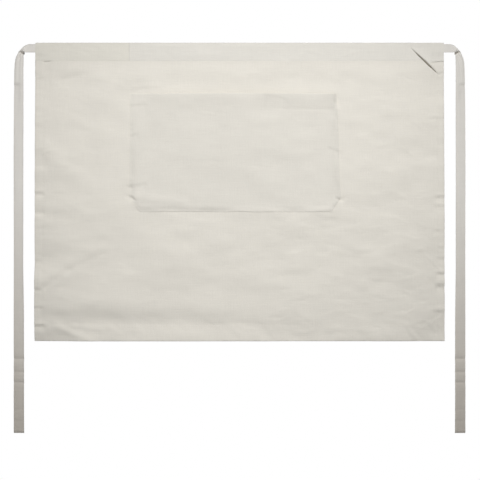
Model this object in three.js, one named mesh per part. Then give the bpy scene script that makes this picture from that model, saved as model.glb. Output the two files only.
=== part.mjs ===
// Half waist apron in plain washed linen: a wide panel, a pieced waistband, one patch pocket and two ties.
// Millimetres, +Z up. It hangs by its waistband with the front facing -Y and +X to the viewer's right.
// The origin is the middle of the waistband's top edge.
import * as THREE from 'three';

// Cloth
const CLOTH = 1.2;              // thickness of one wall of cloth
const HEM_EXTRA = 1.2;          // thickness that the turned cloth adds behind a hem
const SEWN_GAP = 0.3;           // gap between pieces that are sewn together
const LINEN = { color: 0xdedcd1, roughness: 0.95, metalness: 0 };

// Panel
const PANEL_TOP_WIDTH = 898;
const PANEL_BOTTOM_WIDTH = 903;
const PANEL_LENGTH = 656;       // from the waistband's top edge down to the lower hem
const SIDE_HEM = 18.6;
const BOTTOM_HEM = 40;
const HEM_STEP = 2;             // length over which a hem's thickness sets in
const HEM_ROWS = 2;
const GRID_STEP = 31;           // size of the panel's grid where it lies flat

// Waistband
const BAND_DEPTH = 40;
const BAND_ROOM = CLOTH + 2 * SEWN_GAP;   // space between the band's front and back walls
const BAND_FOLD_STEPS = 4;
const PIECING_SEAM_X = -242.5;  // where the band's two strips are joined end to end

// Diagonal tuck that catches up the upper right corner, through waistband and panel alike
const TUCK = { startX: 371, startZ: -7, step: 6.6, steps: 10, depth: 4.5, sharpness: 2, pull: 0.8 };
const TUCK_LIFT = { height: 2, reach: 14 };   // how the caught-up corner stands forward of the tuck
const TUCK_ROWS_IN_BAND = 5;    // grid rows from the tuck's start down to the band's lower edge
const SEAM_ROWS = 2;            // grid rows of the panel that are sewn in under the band

// Soft folds of the panel: the line of each, its rise towards the front and its reach to either side
const FOLDS = [
  { fromX: -428, fromZ: -566, toX: -70, toZ: -586, rise: 4.2, reach: 28 },   // roll above the lower hem
  { fromX: -428, fromZ: -606, toX: -90, toZ: -617, rise: -3.2, reach: 16 },  // hollow under that roll
  { fromX: -345, fromZ: -662, toX: -40, toZ: -662, rise: 4.0, reach: 26 },   // lower hem, kicked out under it
  { fromX: -434, fromZ: -525, toX: -285, toZ: -448, rise: 4.5, reach: 22 },  // drag fold, lower left
  { fromX: -429, fromZ: -230, toX: -340, toZ: -325, rise: 2.6, reach: 22 },  // drag fold, middle left
  { fromX: 405, fromZ: -655, toX: 455, toZ: -600, rise: -4.0, reach: 30 },   // curl of the lower right corner
  { fromX: -455, fromZ: -658, toX: -350, toZ: -674, rise: -8.0, reach: 22 }, // curl of the lower left corner
];

// Patch pocket
const POCKET = {
  leftTop: -240, leftBottom: -243.5, rightTop: 214, rightBottom: 223, top: -112, bottom: -371,
};
const POCKET_CLIP = { leftWidth: 24, rightWidth: 20, height: 31 };   // clipped lower corners
const POCKET_GAPE = 12;         // how far the middle of the mouth stands off the panel
const POCKET_SWELL = 0.55;      // share of the gape that swells over the whole height, the rest near the mouth
const MOUTH_EASE = 3;           // how quickly that rest sets in towards the mouth
const SIDE_EASE = 1.5;          // how softly the swelling dies out towards the pocket's sides
const MOUTH_HEM = 30;           // turned hem along the mouth
const POCKET_COLUMNS = 16;
const POCKET_ROWS = 6;
const MOUTH_ROWS = 2;
const CLIP_ROWS = 2;

// Ties, section by section: places out from the waistband's end and down from its top edge.
// The inner edge turns a sharp corner, and the outer edge is gathered round it.
const TIE_SECTIONS = [
  { innerOut: -18.0, innerDown: 21.0, outerOut: -18.0, outerDown: 2.6, gather: 0 },
  { innerOut: 0.0, innerDown: 21.0, outerOut: 0.0, outerDown: 2.6, gather: 0 },
  { innerOut: 13.0, innerDown: 21.0, outerOut: 14.5, outerDown: 2.6, gather: 0.5 },
  { innerOut: 20.6, innerDown: 20.8, outerOut: 22.8, outerDown: 5.4, gather: 1.5 },
  { innerOut: 24.4, innerDown: 20.8, outerOut: 31.0, outerDown: 13.0, gather: 2.5 },
  { innerOut: 25.6, innerDown: 22.5, outerOut: 36.7, outerDown: 19.5, gather: 2.5 },
  { innerOut: 26.2, innerDown: 26.5, outerOut: 40.4, outerDown: 26.0, gather: 2 },
  { innerOut: 26.4, innerDown: 33.0, outerOut: 43.3, outerDown: 33.0, gather: 1.5 },
  { innerOut: 26.4, innerDown: 42.0, outerOut: 45.4, outerDown: 42.0, gather: 1 },
  { innerOut: 26.6, innerDown: 60.0, outerOut: 46.4, outerDown: 60.0, gather: 0.8 },
  { innerOut: 26.3, innerDown: 125.0, outerOut: 47.6, outerDown: 125.0, gather: 0.5 },
  { innerOut: 26.6, innerDown: 258.0, outerOut: 47.9, outerDown: 258.0, gather: 0.3 },
  { innerOut: 27.0, innerDown: 490.0, outerOut: 47.6, outerDown: 490.0, gather: 0.1 },
  { innerOut: 25.4, innerDown: 600.0, outerOut: 47.7, outerDown: 600.0, gather: 0 },
  { innerOut: 25.0, innerDown: 858.0, outerOut: 47.8, outerDown: 858.0, gather: 0 },
];
const TIE_STEP = 60;            // longest stretch between two sections of a tie
const TIE_COLUMNS = 4;

const FRONT = 0;
const BACK = 1;
const lerp = THREE.MathUtils.lerp;

// Evenly spaced values from one end to the other, both included.
function spaced(from, to, count) {
  return Array.from({ length: count + 1 }, (_, index) => lerp(from, to, index / count));
}

// Evenly spaced values that are no further apart than the grid's step.
function gridded(from, to) {
  return spaced(from, to, Math.ceil(Math.abs(to - from) / GRID_STEP));
}

// A closed wall of cloth over a grid of columns, left to right, and rows, top to bottom.
// place(column, row, face) gives the point of the wall's front or back face.
// Every square is split along the diagonal that falls to the right, so walls that lie together stay parallel.
function clothWall(name, columns, rows, place) {
  const width = columns.length;
  const layer = width * rows.length;
  const points = [];
  for (const face of [FRONT, BACK]) {
    for (const row of rows) {
      for (const column of columns) points.push(...place(column, row, face));
    }
  }
  const at = (i, j, face) => face * layer + j * width + i;
  const height = (i, j) => points[3 * at(i, j, FRONT) + 2];
  const triangles = [];
  for (let j = 0; j + 1 < rows.length; j += 1) {
    for (let i = 0; i + 1 < width; i += 1) {
      const corners = [[i, j], [i, j + 1], [i + 1, j + 1], [i + 1, j]];
      if (height(i, j) < height(i, j + 1)) corners.push(corners.shift());
      const [a, b, c, d] = corners;
      triangles.push(at(...a, FRONT), at(...b, FRONT), at(...c, FRONT));
      triangles.push(at(...a, FRONT), at(...c, FRONT), at(...d, FRONT));
      triangles.push(at(...a, BACK), at(...c, BACK), at(...b, BACK));
      triangles.push(at(...a, BACK), at(...d, BACK), at(...c, BACK));
    }
  }
  const rim = rimOfGrid(width, rows.length);
  rim.forEach((here, index) => {
    const next = rim[(index + 1) % rim.length];
    triangles.push(at(...next, FRONT), at(...here, FRONT), at(...here, BACK));
    triangles.push(at(...next, FRONT), at(...here, BACK), at(...next, BACK));
  });
  const geometry = new THREE.BufferGeometry();
  geometry.setAttribute('position', new THREE.Float32BufferAttribute(points, 3));
  geometry.setIndex(triangles);
  geometry.computeVertexNormals();
  const mesh = new THREE.Mesh(geometry, new THREE.MeshStandardMaterial(LINEN));
  mesh.name = name;
  return mesh;
}

// The grid's edge points in order: down the left side, along the bottom, up the right side and back.
function rimOfGrid(width, height) {
  const rim = [];
  for (let j = 0; j < height - 1; j += 1) rim.push([0, j]);
  for (let i = 0; i < width - 1; i += 1) rim.push([i, height - 1]);
  for (let j = height - 1; j > 0; j -= 1) rim.push([width - 1, j]);
  for (let i = width - 1; i > 0; i -= 1) rim.push([i, 0]);
  return rim;
}

// How far a soft fold brings the cloth forward at a point, fading out at the ends of its line.
function foldRise(fold, x, z) {
  const start = new THREE.Vector2(fold.fromX, fold.fromZ);
  const line = new THREE.Vector2(fold.toX, fold.toZ).sub(start);
  const point = new THREE.Vector2(x, z).sub(start);
  const along = THREE.MathUtils.clamp(point.dot(line) / line.lengthSq(), 0, 1);
  const away = point.distanceTo(line.clone().multiplyScalar(along));
  return fold.rise * Math.cos(along * Math.PI / 2) * Math.exp(-((away / fold.reach) ** 2));
}

// The tuck's effect at a point: how far the cloth sinks back, and how far it is drawn in towards the tuck.
function tuckAt(x, z) {
  const diagonal = Math.SQRT1_2;
  const along = ((x - TUCK.startX) - (z - TUCK.startZ)) / (2 * TUCK.step * TUCK.steps);
  const away = ((x - TUCK.startX) + (z - TUCK.startZ)) * diagonal;
  const strength = Math.sin(Math.PI * THREE.MathUtils.clamp(along, 0, 1));
  const spacing = TUCK.step * diagonal;
  const share = Math.abs(away) / spacing;
  const sink = TUCK.depth * strength * Math.exp(-((TUCK.sharpness * share) ** 2));
  const lift = away > 0 ? TUCK_LIFT.height * strength * Math.exp(-((away / TUCK_LIFT.reach) ** 2)) : 0;
  const drawn = -Math.sign(away) * TUCK.pull * strength * share * Math.exp(1 - share);
  return { back: sink - lift, across: drawn * diagonal };
}

// The middle of the cloth at a place on the panel or the waistband.
function clothMiddle(x, z) {
  const tuck = tuckAt(x, z);
  const rise = FOLDS.reduce((sum, fold) => sum + foldRise(fold, x, z), 0);
  return { x: x + tuck.across, y: tuck.back - rise, z: z + tuck.across };
}

// Grid columns that the panel and the waistband share, finer where the tuck runs.
function sharedColumns() {
  const edge = PANEL_TOP_WIDTH / 2;
  const hem = edge - SIDE_HEM;
  const tuckFrom = TUCK.startX - TUCK.step;
  const tuckTo = TUCK.startX + TUCK.step * TUCK.steps;
  return [
    -edge, -hem,
    ...gridded(-hem + TUCK.step, PIECING_SEAM_X),
    ...gridded(PIECING_SEAM_X, tuckFrom).slice(1),
    ...spaced(tuckFrom, tuckTo, TUCK.steps + 1).slice(1),
    edge,
  ];
}

// Grid rows below the tuck's start, at the tuck's own step.
function tuckRows(from, to) {
  return spaced(TUCK.startZ - TUCK.step * from, TUCK.startZ - TUCK.step * to, to - from);
}

function apronPanel() {
  const firstRow = TUCK_ROWS_IN_BAND - SEAM_ROWS;
  const lastFineRow = TUCK.steps + 1;
  const belowTuck = TUCK.startZ - TUCK.step * lastFineRow;
  const hemTop = BOTTOM_HEM - PANEL_LENGTH;
  const rows = [
    ...tuckRows(firstRow, lastFineRow),
    ...gridded(belowTuck, hemTop + HEM_STEP).slice(1),
    ...spaced(hemTop, -PANEL_LENGTH, HEM_ROWS),
  ];
  const hemFrom = PANEL_TOP_WIDTH / 2 - SIDE_HEM - TUCK.step / 2;
  const hemStart = -BAND_DEPTH - TUCK.step / 2;
  const flare = PANEL_BOTTOM_WIDTH / PANEL_TOP_WIDTH - 1;
  return clothWall('apron_panel', sharedColumns(), rows, (column, row, face) => {
    const middle = clothMiddle(column, row);
    const inSideHem = Math.abs(column) > hemFrom && row < hemStart;
    const hem = inSideHem || row <= hemTop ? HEM_EXTRA : 0;
    const y = middle.y + (face === BACK ? CLOTH / 2 + hem : -CLOTH / 2);
    return [middle.x * (1 + flare * -row / PANEL_LENGTH), y, middle.z];
  });
}

// One strip of the waistband, folded over the panel's top edge from the front to the back.
function bandStrip(name, columns) {
  const outer = BAND_ROOM / 2 + CLOTH;
  const wallRows = tuckRows(0, TUCK_ROWS_IN_BAND);
  const rows = [
    ...wallRows.map((z) => ({ z, turn: 0 })).reverse(),
    ...spaced(0, Math.PI, BAND_FOLD_STEPS).map((turn) => ({ z: -outer, turn })),
    ...wallRows.map((z) => ({ z, turn: Math.PI })),
  ];
  return clothWall(name, columns, rows, (column, row, face) => {
    const middle = clothMiddle(column, row.z);
    const radius = face === FRONT ? outer : BAND_ROOM / 2;
    return [middle.x, middle.y + radius * Math.cos(row.turn), middle.z + radius * Math.sin(row.turn)];
  });
}

function waistband() {
  const columns = sharedColumns();
  const seam = SEWN_GAP / 2;
  const left = columns.filter((x) => x < PIECING_SEAM_X - seam);
  const right = columns.filter((x) => x > PIECING_SEAM_X + seam);
  return [
    bandStrip('waistband_short', [...left, PIECING_SEAM_X - seam]),
    bandStrip('waistband_long', [PIECING_SEAM_X + seam, ...right]),
  ];
}

// The pocket lies on the panel at its sides and its foot, and stands off it towards the middle of its mouth.
function patchPocket() {
  const clipTop = POCKET.bottom + POCKET_CLIP.height;
  const mouthHem = POCKET.top - MOUTH_HEM;
  const rows = [
    ...spaced(POCKET.top, mouthHem, MOUTH_ROWS),
    ...spaced(mouthHem - HEM_STEP, clipTop, POCKET_ROWS),
    ...spaced(clipTop, POCKET.bottom, CLIP_ROWS).slice(1),
  ];
  const columns = spaced(-1, 1, POCKET_COLUMNS);
  return clothWall('patch_pocket', columns, rows, (column, row, face) => {
    const height = (row - POCKET.bottom) / (POCKET.top - POCKET.bottom);
    const clip = Math.max(0, (clipTop - row) / POCKET_CLIP.height);
    const left = lerp(POCKET.leftBottom, POCKET.leftTop, height) + POCKET_CLIP.leftWidth * clip;
    const right = lerp(POCKET.rightBottom, POCKET.rightTop, height) - POCKET_CLIP.rightWidth * clip;
    const gape = lerp(height ** MOUTH_EASE, Math.sin(height * Math.PI / 2), POCKET_SWELL);
    const bulge = POCKET_GAPE * gape * (1 - column ** 2) ** SIDE_EASE;
    const inner = -(CLOTH / 2 + SEWN_GAP + bulge);
    const wall = row >= mouthHem ? CLOTH + HEM_EXTRA : CLOTH;
    return [lerp(left, right, (column + 1) / 2), face === FRONT ? inner - wall : inner, row];
  });
}

// A tie's sections with the long hanging stretches divided evenly.
function tieSections() {
  const sections = [TIE_SECTIONS[0]];
  TIE_SECTIONS.slice(1).forEach((next, index) => {
    const here = TIE_SECTIONS[index];
    const count = Math.ceil((next.innerDown - here.innerDown) / TIE_STEP) || 1;
    for (let step = 1; step <= count; step += 1) {
      const between = Object.keys(next).map((key) => [key, lerp(here[key], next[key], step / count)]);
      sections.push(Object.fromEntries(between));
    }
  });
  return sections;
}

// side is 1 for the right tie and -1 for the left one.
function tie(name, side) {
  const bandEnd = PANEL_TOP_WIDTH / 2;
  const columns = spaced(0, TIE_COLUMNS, TIE_COLUMNS);
  return clothWall(name, side > 0 ? columns : columns.reverse(), tieSections(), (column, section, face) => {
    const share = column / TIE_COLUMNS;
    const out = lerp(section.innerOut, section.outerOut, share);
    const down = lerp(section.innerDown, section.outerDown, share);
    const pleat = section.gather * Math.cos(column * Math.PI);
    return [side * (bandEnd + out), pleat + (face === FRONT ? -CLOTH / 2 : CLOTH / 2), -down];
  });
}

const apron = new THREE.Group();
apron.add(apronPanel(), ...waistband(), patchPocket(), tie('tie_right', 1), tie('tie_left', -1));

export default apron;
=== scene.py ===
"""Half waist apron in washed linen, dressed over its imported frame.

Shapes are worked out in millimetres, in the frame's axes, and become metres where a mesh is made.
The front faces -Y, so a rise towards the front lowers Y.
"""
from math import ceil, pi, radians, sqrt
from types import SimpleNamespace as Values

import bpy
import numpy as np
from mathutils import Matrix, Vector


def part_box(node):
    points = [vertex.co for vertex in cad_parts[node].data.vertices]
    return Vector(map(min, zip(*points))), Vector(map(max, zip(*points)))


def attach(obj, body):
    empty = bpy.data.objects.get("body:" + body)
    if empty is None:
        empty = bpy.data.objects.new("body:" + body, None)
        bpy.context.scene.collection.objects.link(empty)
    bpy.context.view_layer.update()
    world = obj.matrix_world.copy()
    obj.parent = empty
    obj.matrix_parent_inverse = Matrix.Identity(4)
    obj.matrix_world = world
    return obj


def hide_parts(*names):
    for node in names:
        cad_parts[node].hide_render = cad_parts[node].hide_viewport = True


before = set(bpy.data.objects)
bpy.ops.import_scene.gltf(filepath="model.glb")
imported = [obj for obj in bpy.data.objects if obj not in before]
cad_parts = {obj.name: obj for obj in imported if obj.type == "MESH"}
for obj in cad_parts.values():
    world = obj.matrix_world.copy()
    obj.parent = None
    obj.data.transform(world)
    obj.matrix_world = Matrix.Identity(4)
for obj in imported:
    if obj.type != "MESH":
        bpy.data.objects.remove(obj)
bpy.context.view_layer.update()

MM = 0.001
CLOTH_MAP = "cloth"  # map that holds each point's place on the uncut cloth, in metres


# Sizes that come from the frame

def box_mm(node):
    """Lowest and highest corner of a node of the frame, in millimetres."""
    low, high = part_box(node)
    return np.array(low) / MM, np.array(high) / MM


PANEL_LOW, PANEL_HIGH = box_mm("apron_panel")
SHORT_LOW, SHORT_HIGH = box_mm("waistband_short")
LONG_LOW, _ = box_mm("waistband_long")
POCKET_LOW, POCKET_HIGH = box_mm("patch_pocket")

HALF_TOP = -SHORT_LOW[0]  # half the panel's width at the waistband
HALF_BOTTOM = PANEL_HIGH[0]  # half its width at the lower hem
LENGTH = -PANEL_LOW[2]  # from the waistband's top edge to the lower hem
SEAM_Z = SHORT_LOW[2]  # the waistband's lower edge
BAND_DEPTH = -SEAM_Z
PANEL_TOP = PANEL_HIGH[2]  # the panel's upper edge, sewn in under the waistband
PIECING_X = (SHORT_HIGH[0] + LONG_LOW[0]) / 2
POCKET_TOP = POCKET_HIGH[2]
POCKET_BOTTOM = POCKET_LOW[2]

# Places on one uncut cloth: the waistband is cut below the panel, the pocket and the ties beside it
BAND_ON_CLOTH = LENGTH
POCKET_ON_CLOTH = 2 * LENGTH
TIE_ON_CLOTH = 3 * LENGTH

# Cloth, folded edges and hems
LINEN = 0.8  # thickness of the cloth
PLY_GAP = 0.15  # air between two plies that are sewn together
PIECING_GAP = 0.2  # between the ends of the waistband's strips
SIDE_HEM = 18.6
BOTTOM_HEM = 40
SIDE_FOLD = 0.5  # radius of the side hems' folded edge
BOTTOM_FOLD = 1.4  # radius of the lower hem's, which takes in the side hems
TOP_FOLD = 0.5  # radius of the waistband's, which is pressed flat
FOLD_STEPS = 5
SHARP_EDGE = 50  # degrees from which an edge of the cloth is not shaded over

# Stitching
STITCH = Values(length=2.6, pitch=3.4, radius=0.2, sides=5, dip=0.22)
STITCH_INSET = 2.4  # distance of a row of stitches from the edge it holds
STITCH_CLEAR = Values(seam=3, edge=4, mouth=5, tie=60)  # how far short of other edges rows end
STITCH_POINTS = Values(down=400, across=500, band=400, pocket=160)

# Steps of the grids, finer along the panel's left edge, low down and round the tuck
STEP = Values(middle=6.4, left_edge=3, side_hem=4, upper=3.4, lower=2.6, foot_hem=6, tuck=1.7, band=1.8,
              taper=0.5, strip=4.4, mouth_hem=3, pocket=2.3, tie=2, tie_path=30)
LEFT_EDGE_X = -415
LOWER_DEPTH = 560
TUCK_ROOM = Values(left=8, below=12)

# Seam under the waistband, whose lower edge is pressed thin, with the panel brought up level with it
SEAM_TAPER = 2  # length over which that edge is pressed thin
SEAM_EDGE = 0.1  # thickness that it has left there
SEAM_EASE = 0.08  # air left between it and the panel's rise under it
SEAM_RISE = Values(start=130, end=5)  # how far below it the panel starts and ends its rise
SEAM_HOLD = 48  # how far below it the panel starts to follow the waistband
SEAM_GAPS = [(-431, -416), (424, 449)]  # stretches, from left to right, where it gapes a little
SEAM_GAP = Values(ease=3, depth=0.4, below=2, reach=3)

# Waistband
TOP_LEAN = Values(forward=0.4, depth=12, edge=1, clear=20)  # of its top edge, clear of its ends
BAND_RUMPLE = dict(rise=0.5, across=80, up=24, seed=41)
BAND_CRINKLES = dict(seed=42, count=80, low=(-HALF_TOP, -38), high=(HALF_TOP, -4), rise=0.22)
BAND_RUMPLE_DEPTH = 8  # how far below its top edge it is rumpled in full
BAND_OPENING = (-1, -10)  # heights between which its fold opens to take in the panel
TIE_ROOM = Values(stand=0.75, inner=30, outer=20, low=30, high=22, top=3)  # at its ends

# Diagonal tuck that catches up the upper right corner, through waistband and panel alike
TUCK = Values(start=(371, -6), end=(438, -70), skew=1.25, depth=11, mouth=2.55, taken=6.8,
              least_taken=0.001, eased=28, lift=1.3, lift_reach=10, lower_lift=0.3)

# Slow unevenness of cloth that was washed and hung up again
UNDULATION = [
    dict(rise=2, across=150, up=95, seed=11, shift=9),
    dict(rise=1.4, across=62, up=40, seed=12),
    dict(rise=0.55, across=30, up=19, seed=13),
]

# Short fine creases, mostly level, strewn over boxes of the panel
CRINKLE = Values(length=(6, 22), slope=0.32, reach=(2.2, 5), share=(0.3, 1))
CRINKLE_CUT = Values(along=2, slope=1.2, across=3)  # how far out one counts, in its lengths and reaches
PANEL_CRINKLES = [
    dict(seed=31, count=300, low=(-HALF_TOP, -LENGTH), high=(HALF_TOP, SEAM_Z), rise=0.42),
    dict(seed=32, count=200, low=(60, -640), high=(HALF_TOP, -330), rise=0.55),
    dict(seed=33, count=60, low=(-HALF_TOP, -640), high=(-HALF_TOP + 120, -90), rise=0.4),
]

# Soft folds of the panel, strongest where they start: start, end, rise towards the front, and reach to the
# left and to the right of the way each runs
FOLDS = [
    # Roll above the lower hem, the hollow under it, and the hem, which is kicked out under the hollow
    ((-428, -566), (160, -592), 3.7, 28, 28),
    ((-428, -604), (160, -627), -2.8, 17, 17),
    ((-345, -662), (120, -662), 4.2, 27, 27),
    # Drag folds at the lower and the middle left
    ((-434, -525), (-285, -448), 4.5, 22, 22),
    ((-429, -230), (-340, -325), 2.6, 22, 22),
    # Curls of the lower right and the lower left corner
    ((405, -655), (455, -600), -4, 30, 30),
    ((-455, -658), (-345, -674), -6.4, 22, 22),
]

# Short creases of the panel, by the same columns, even from end to end
CREASES = [
    # Drags at the pocket's upper left corner
    ((-239, -108), (-207, -99), -0.8, 4, 4),
    ((-228, -99), (-180, -92), 0.6, 5, 5),
    # Under the short strip of the waistband
    ((-391, -80), (-337, -66), -0.9, 7, 7),
    # Hook at the tuck's lower end
    ((438, -70), (447, -66), -1.2, 2.5, 2.5),
    # Drawn line of the lower left drag fold
    ((-427, -537), (-375, -500), -2, 7, 7),
    ((-375, -500), (-300, -464), -1.5, 8, 8),
    # Facets of the lower left corner
    ((-398, -625), (-326, -655), 1.8, 7, 7),
    ((-366, -622), (-300, -631), 0.9, 6, 6),
    ((-290, -622), (-262, -640), 0.8, 6, 6),
    # Slack of the side hems
    ((-452, -268), (-434, -268), -2.2, 26, 10),
    ((-452, -376), (-434, -376), -1.7, 18, 4),
    ((-452, -486), (-434, -486), -2.8, 50, 28),
    ((436, -118), (452, -118), -1.7, 24, 18),
    ((438, -632), (452, -632), -2.4, 32, 16),
    # Beside the pocket's mouth
    ((217, -122), (216, -138), -1.6, 3, 3),
    # Pulls at the pocket's lower corners
    ((215, -343), (221, -347), -2.4, 3.2, 3.2),
    ((222, -346), (229, -340), -2.2, 3, 3),
    ((-238, -343), (-246, -336), -1.2, 3, 3),
    ((-238, -340), (-230, -346), -1.6, 3, 3),
    # Falling back under the waistband, and forward along the pocket's mouth
    ((-430, -86), (430, -86), -1.3, 30, 30),
    ((-180, -113), (200, -113), 1.6, 20, 20),
    # Drawn in along the pocket's sides
    ((211, -114), (212, -132), -1.3, 3.4, 3.4),
    ((200, -235), (214, -240), -1, 4, 18),
    ((-236, -140), (-212, -136), -0.9, 3, 18),
    ((-236, -206), (-229, -204), -1, 3.4, 14),
    ((-238, -318), (-212, -313), -1.2, 4, 12),
]

# Short sharp puckers across the side hems: side, height, length in from the edge, depth and reach
HEM_PUCKERS = [
    (-1, -332, 26, 2, 2.6),
    (-1, -373, 24, 1, 2.6),
    (-1, -481, 20, 0.8, 2.6),
    (-1, -543, 24, 1.4, 2.6),
    (-1, -583, 24, 1.3, 2.6),
    (-1, -624, 34, 2.7, 2.8),
    (1, -167, 44, 0.8, 2.6),
    (1, -341, 26, 1.8, 2.6),
    (1, -360, 30, 0.9, 2.6),
    (1, -414, 28, 0.8, 2.6),
    (1, -451, 22, 0.9, 2.6),
    (1, -475, 22, 0.9, 2.6),
    (1, -509, 24, 2.4, 2.6),
    (1, -537, 26, 2.8, 4.6),
    (1, -594, 34, 1.6, 4.2),
]
PUCKER_FULL = 0.45  # share of its length over which a pucker has its full depth
PUCKER_EASE = 3  # how much further its lower side reaches
PUCKER_BANK = Values(above=2.5, reach=1.4, share=0.35)  # raised bank over it, in its reaches and its depth

# Relief of the hems: dimpled stitch lines, and the rope-like twist of the lower hem
SIDE_LINE = Values(depth=0.25, reach=2.4)
SIDE_RUMPLE = dict(rise=0.35, across=30, up=8, seed=21)
SIDE_SPREAD = Values(share=0.7, start=30)  # its reach, in widths of the hem, and its start below the seam
FOOT_LINE = Values(depth=0.3, reach=3, level=0.5)
FOOT_RUMPLE = dict(rise=1, across=40, up=40, seed=25)
ROPE = Values(below=4, above=10, level=0.6)
ROPE_RUMPLE = dict(rise=0.4, across=90, up=60, seed=24)
ROPE_TWISTS = [
    dict(rise=1, across=26, up=50, seed=22, slant=0.9),
    dict(rise=0.5, across=11, up=44, seed=23, slant=0.8),
]

# Patch pocket
POCKET_LEFT = -240  # at the mouth
POCKET_LEFT_FOOT = -243.5
POCKET_RIGHT = 214  # at the mouth
POCKET_RIGHT_FOOT = 223
POCKET_CLIP = Values(left=24, right=20, height=31)
POCKET_GAPE = 12
POCKET_SWELL = 0.55  # how far down it stands off the panel, from 0 to 1
POCKET_CLEAR = 0.2  # how softly its creases end where they would reach the panel
POCKET_COVER = Values(ease=14, right=4, above=2, above_ease=44)  # where the panel lies flat under it
MOUTH_EASE = 3
SIDE_EASE = 1.5
MOUTH_HEM = 30
MOUTH_ROOM = Values(below=40, full=1, none=5)  # for that hem, where the pocket lies close to the panel
MOUTH_FOLD = 0.3
POCKET_CLOTH = 0.5  # thickness of its cloth, which is pressed thin
POCKET_SEAM = Values(roll=0.3, roll_in=9, roll_reach=6, dip=0.25, dip_reach=2)
POCKET_FINE_IN = (-2, 8)  # distances in from its edge between which its creases set in
POCKET_COLUMNS = 129
POCKET_CROWDING = 0.36  # how far these crowd towards its sides, in half turns
POCKET_SAG_HEIGHT = 40
POCKET_SAG = dict(rise=0.7, across=40, up=1, seed=55)
POCKET_WANDER = [dict(rise=0.9, across=26, up=1, seed=53), dict(rise=0.9, across=22, up=1, seed=54)]
POCKET_RUMPLE = [dict(rise=1.1, across=70, up=45, seed=52), dict(rise=0.4, across=30, up=19, seed=56)]
POCKET_CRINKLES = dict(seed=51, count=60, low=(POCKET_LEFT, POCKET_BOTTOM), high=(POCKET_RIGHT, POCKET_TOP),
                       rise=0.2)
POCKET_CREASES = [
    # The mouth hem's stitching draws in, and its right half leans out
    ((95, -146), (204, -146), -0.4, 3.8, 3.8),
    ((70, -108), (200, -108), 2.4, 24, 24),
    ((58, -118), (97, -126), -0.8, 3.6, 16),
    # Roll above the lower left corner
    ((-222, -340), (-125, -352), 1.9, 12, 12),
]

# Ties, section by section, as the frame has them: out from the waistband's end and down from its top edge
TIE_COLUMNS = ("inner_out", "inner_down", "outer_out", "outer_down", "gather")
TIE_SECTIONS = [
    (-18, 21, -18, 2.6, 0),
    (0, 21, 0, 2.6, 0),
    (13, 21, 14.5, 2.6, 0.5),
    (20.6, 20.8, 22.8, 5.4, 1.5),
    (24.4, 20.8, 31, 13, 2.5),
    (25.6, 22.5, 36.7, 19.5, 2.5),
    (26.2, 26.5, 40.4, 26, 2),
    (26.4, 33, 43.3, 33, 1.5),
    (26.4, 42, 45.4, 42, 1),
    (26.6, 60, 46.4, 60, 0.8),
    (26.3, 125, 47.6, 125, 0.5),
    (26.6, 258, 47.9, 258, 0.3),
    (27, 490, 47.6, 490, 0.1),
    (25.4, 600, 47.7, 600, 0),
    (25, 858, 47.8, 858, 0),
]
TIE_PINCH_ROW = 5  # the section where the tie is folded across
TIE_THICKNESS = 1.4
TIE_WIDTH = 23
TIE_ACROSS = 21  # points from edge to edge

# Relief of the ties: distances run on from the pinch or along the tie, shares from the inner edge
TIE_PLEATS = Values(rise=0.6, count=2, shift=0.4, start=10, full=15, gone=120)
TIE_PINCH = Values(depth=12, ease=0.6, reach=1.2, inner_reach=2.6)
TIE_BULGE = Values(rise=1.5, before=8, reach=4.5)
TIE_FACET = Values(depth=0.8, run=24, start=0.35, reach=3, shares=(0.3, 0.45))
TIE_STEP_BACK = Values(setting_in=(66, 74), easing=(200, 74), depth=2.4, shares=(0.1, 0.7))
TIE_RIMS = Values(depth=0.12, shares=(0.1, 0.9), reach=0.05, eased=(20, 60))
TIE_END_ROLL = Values(length=5, back=2.4)
TIE_DRIFTS = [
    dict(depth=1.5, length=160, shift=3, twist=0.6, seed=61, eased=(30, 120)),
    dict(depth=0.3, length=22, shift=7, twist=2, seed=62, eased=(20, 60)),
]

# Sharp creases across a tie: distance below the waistband's top edge, depth and reach
TIE_CREASES = [
    (695, 3, 5),
    (724, 2.2, 5),
    (747, 2.6, 4),
    (806, 0.6, 5),
    (832, 0.9, 5),
]

# Looks
# tie_end_painted_shade is the ties' colour darkened by painted shade, which they turn to at their lower
# ends
COLOURS = dict(apron_panel=(0.739, 0.706, 0.638), waistband_short=(0.692, 0.666, 0.598),
               waistband_long=(0.698, 0.673, 0.617), patch_pocket=(0.722, 0.692, 0.628),
               tie_right=(0.7, 0.675, 0.63), tie_left=(0.738, 0.711, 0.666),
               tie_end_painted_shade=(0.578, 0.534, 0.474), thread=(0.728, 0.696, 0.628))
TIE_END_SHADE_SPAN = dict(From_Min=0.36, From_Max=0.9)  # painted shade of the ties' lower ends: where it sets in and where it is full, in metres along the tie
# Lines of the uncut cloth that are darkened. Along the waistband's top edge, under its seam and at its
# piecing, and along the ties' edges, this is painted shade; along the pocket's left side it is partly its
# seam allowance, partly painted shade; the side hems and the pocket's right side are just darker along
# them.
DARKENED_LINES = dict(side_hem=(5.5, 0.04), seam=(12, 0.024), top_edge=(3, 0.1), piecing=(2, 0.08),
              pocket_left=(26, 0.02), pocket_right=(40, 0.045), tie_right=(3.6, 0.025),
              tie_left=(3.6, 0.07))  # lines darkened: how far the darkening reaches, and the loss of tone
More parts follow.
